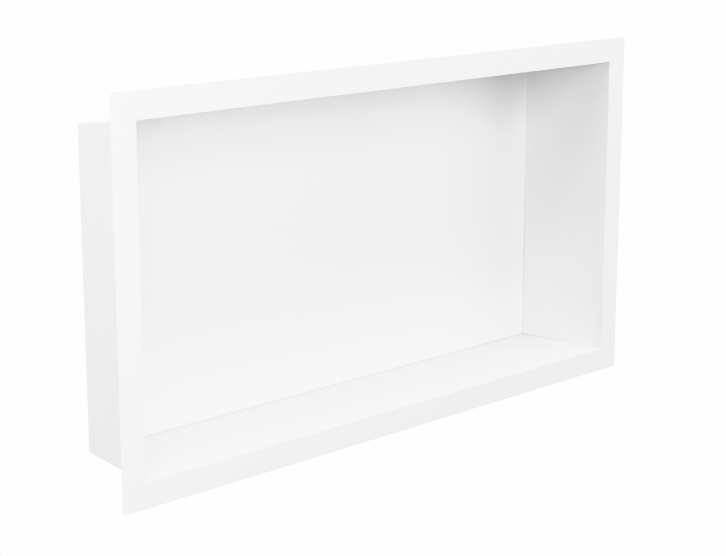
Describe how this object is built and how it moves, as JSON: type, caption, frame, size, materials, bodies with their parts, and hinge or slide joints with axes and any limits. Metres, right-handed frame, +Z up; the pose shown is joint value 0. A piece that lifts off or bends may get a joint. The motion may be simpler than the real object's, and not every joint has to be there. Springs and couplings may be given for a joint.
{
  "type": "shower niche insert",
  "caption": "White sheet-metal box set into a shower wall, open at the front, with a flat flange round its mouth; bottles stand on its level floor.",
  "frame": {"origin": "centre of the opening, in the plane of the flange's rear face, which lies on the wall", "axes": "+X along the opening's width, +Y into the wall towards the back panel, +Z up"},
  "size_m": [0.648, 0.098, 0.348],
  "materials": {
    "white_powder_coat": "smooth satin white powder coat"
  },
  "bodies": {
    "root": {"niche_body": "white_powder_coat"}
  },
  "joints": []
}
